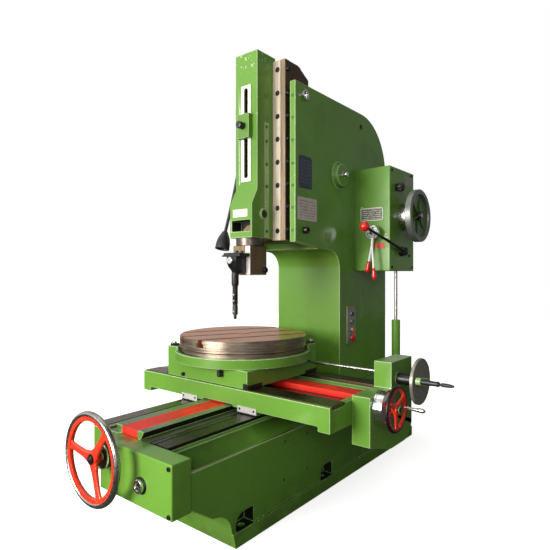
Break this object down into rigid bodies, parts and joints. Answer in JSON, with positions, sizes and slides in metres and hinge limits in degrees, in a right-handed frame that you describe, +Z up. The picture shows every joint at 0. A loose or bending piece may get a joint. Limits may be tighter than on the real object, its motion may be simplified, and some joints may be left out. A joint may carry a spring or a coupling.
{
  "type": "vertical slotting machine",
  "caption": "Vertical slotting machine: bed and column castings, tilting ram guide with ram and tool, cross-sliding saddle, rotary T-slot table, handwheels and levers.",
  "frame": {"origin": "on the floor, midway between the two long ways of the bed, in the plane of the sole; Y is measured from a cross line 0.203 m in front of the column", "axes": "+X to the operator's right, +Y from the front of the bed towards the column, +Z up"},
  "size_m": [1.482, 1.956, 2.062],
  "materials": {
    "green_paint": "gloss green machine enamel over cast iron",
    "way_steel": "scraped and oiled guide face",
    "red_cover": "red enamel",
    "bright_steel": "ground bright steel",
    "wheel_red": "orange-red enamel with a polished rim",
    "panel_grey": "grey control panel",
    "button_red": "moulded push buttons",
    "black_steel": "black oxide",
    "guide_iron": "machined cast iron, brown with oil",
    "scale_plate": "white enamelled scale plate",
    "tool_steel": "dark tool steel",
    "black_plastic": "black moulding",
    "wheel_iron": "turned cast iron",
    "red_plastic": "red plastic grip",
    "wiper_alloy": "plain aluminium plate",
    "table_steel": "turned cast iron table"
  },
  "bodies": {
    "frame": {"bed": "green_paint", "bed_ways": "way_steel", "bed_screw_cover": "red_cover", "front_gearbox": "green_paint", "crank_socket": "bright_steel", "column": "green_paint", "boss_pin": "bright_steel", "button_panel": "panel_grey", "buttons": "button_red", "pivot_pins": "bright_steel", "tilt_locks": "black_steel", "feed_gearbox": "green_paint", "feed_drum": "bright_steel", "selector_knob": "black_plastic", "clutch_shaft": "black_steel", "gear_dial": "bright_steel", "feed_shaft": "bright_steel", "feed_shaft_cover": "green_paint"},
    "bed_wheel": {"bed_handwheel": "wheel_red"},
    "guide": {"ram_guide": "guide_iron", "guide_strips": "bright_steel", "work_lamp": "black_plastic"},
    "ram": {"ram": "green_paint", "ram_slot_plates": "scale_plate", "ram_clamp_block": "green_paint", "ram_clamp_knob": "black_steel", "tool_collar": "bright_steel", "clapper_box": "guide_iron", "tool_holder": "black_steel", "cutting_tool": "tool_steel"},
    "feed_wheel": {"feed_wheel": "wheel_iron"},
    "clutch": {"clutch_lever": "black_steel", "clutch_ball": "red_plastic"},
    "gear_lever_inner": {"gear_lever_inner": "bright_steel", "gear_grip_inner": "red_plastic"},
    "gear_lever_outer": {"gear_lever_outer": "bright_steel", "gear_grip_outer": "red_plastic"},
    "saddle": {"saddle": "green_paint", "cross_ways": "way_steel", "cross_screw_cover": "red_cover", "way_wipers": "wiper_alloy", "cross_feed_box": "green_paint", "cross_dial": "bright_steel", "index_plate": "wheel_iron", "table_shaft": "bright_steel"},
    "carriage": {"carriage": "green_paint", "table_seat": "green_paint", "table_clamps": "bright_steel"},
    "table": {"rotary_table": "table_steel"},
    "cross_wheel": {"cross_handwheel": "wheel_red", "cross_handle": "bright_steel"},
    "index_crank": {"index_crank": "green_paint", "index_handle": "black_steel"}
  },
  "joints": [
    {"name": "saddle_slide", "type": "slide", "parent": "frame", "child": "saddle", "axis": [0, 1, 0], "range_m": [-0.42, 0.08]},
    {"name": "cross_slide", "type": "slide", "parent": "saddle", "child": "carriage", "axis": [1, 0, 0], "range_m": [-0.17, 0.34]},
    {"name": "table_turn", "type": "hinge", "parent": "carriage", "child": "table", "pos_m": [-0.091, -0.234, 0.698], "axis": [0, 0, 1], "continuous": true},
    {"name": "guide_tilt", "type": "hinge", "parent": "frame", "child": "guide", "pos_m": [0, -0.128, 1.864], "axis": [-1, 0, 0], "range_deg": [0, 8]},
    {"name": "ram_stroke", "type": "slide", "parent": "guide", "child": "ram", "axis": [0, 0, 1], "range_m": [-0.075, 0.245]},
    {"name": "bed_wheel_spin", "type": "hinge", "parent": "frame", "child": "bed_wheel", "pos_m": [0.002, -1.122, 0.35], "axis": [0, -1, 0], "continuous": true},
    {"name": "cross_wheel_spin", "type": "hinge", "parent": "saddle", "child": "cross_wheel", "pos_m": [0.747, -0.26, 0.466], "axis": [1, 0, 0], "continuous": true},
    {"name": "index_crank_spin", "type": "hinge", "parent": "saddle", "child": "index_crank", "pos_m": [0.769, -0.095, 0.551], "axis": [1, 0, 0], "continuous": true},
    {"name": "feed_wheel_spin", "type": "hinge", "parent": "frame", "child": "feed_wheel", "pos_m": [0.484, 0.545, 1.318], "axis": [1, 0, 0], "continuous": true},
    {"name": "clutch_swing", "type": "hinge", "parent": "frame", "child": "clutch", "pos_m": [0.448, 0.508, 1.122], "axis": [1, 0, 0], "range_deg": [-20, 25]},
    {"name": "gear_lever_inner_swing", "type": "hinge", "parent": "frame", "child": "gear_lever_inner", "pos_m": [0.341, 0.361, 1.22], "axis": [0, 1, 0], "range_deg": [-20, 15]},
    {"name": "gear_lever_outer_swing", "type": "hinge", "parent": "frame", "child": "gear_lever_outer", "pos_m": [0.341, 0.343, 1.22], "axis": [0, 1, 0], "range_deg": [-30, 30]}
  ]
}
